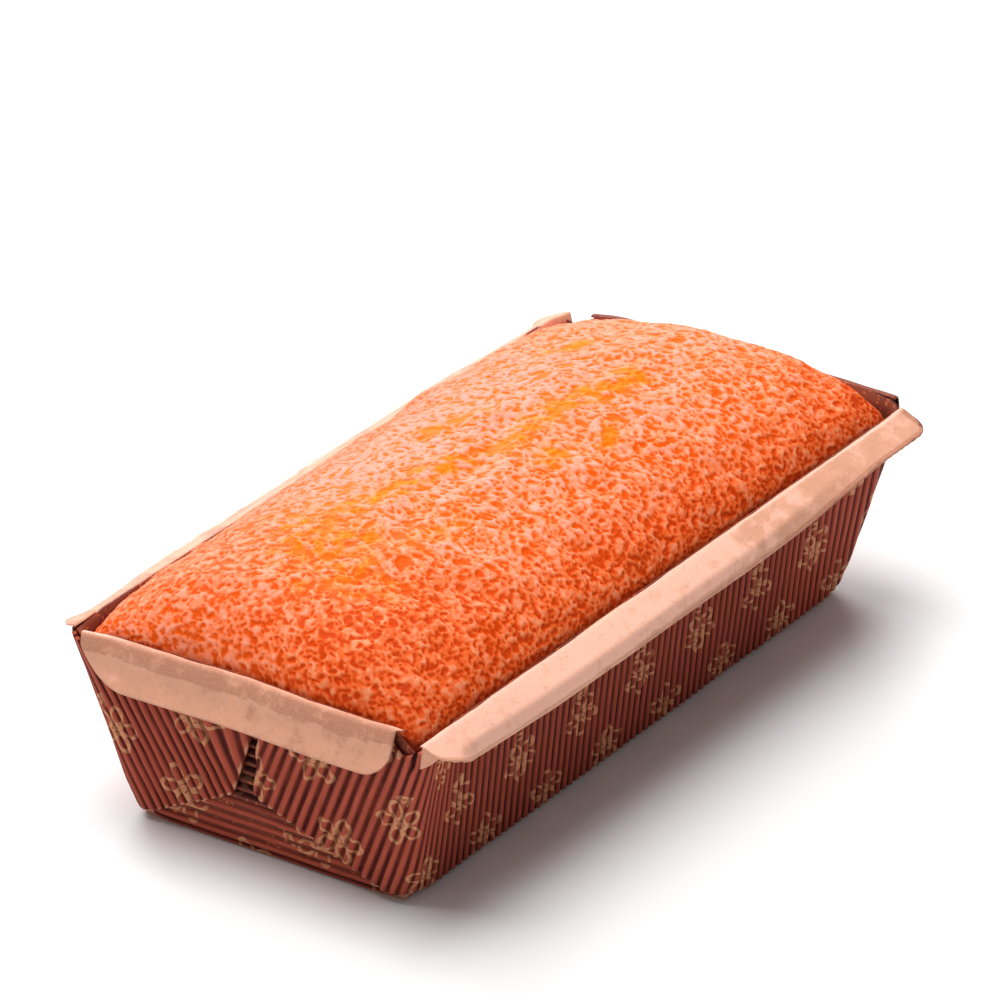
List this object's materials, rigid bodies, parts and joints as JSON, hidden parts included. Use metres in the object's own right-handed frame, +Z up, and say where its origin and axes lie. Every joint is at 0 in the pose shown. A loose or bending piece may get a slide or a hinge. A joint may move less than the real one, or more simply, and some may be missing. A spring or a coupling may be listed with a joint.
{
  "type": "lemon loaf cake",
  "caption": "Lemon loaf cake with a browned, craggy dome and a golden split along its crest, in a fluted brown paper baking case with a plain kraft rim turned outward all round",
  "frame": {"origin": "middle of the case's flat underside", "axes": "+X along the loaf, with the end nearest the camera in the picture at -X; +Y across it, with the long wall nearest the camera at -Y; +Z up"},
  "size_m": [0.2308, 0.125, 0.0748],
  "materials": {
    "crust": "matt baked crumb, stands in for cake crust",
    "board": "matt printed single-faced corrugated board"
  },
  "bodies": {
    "root": {"cake": "crust", "case": "board"}
  },
  "joints": []
}
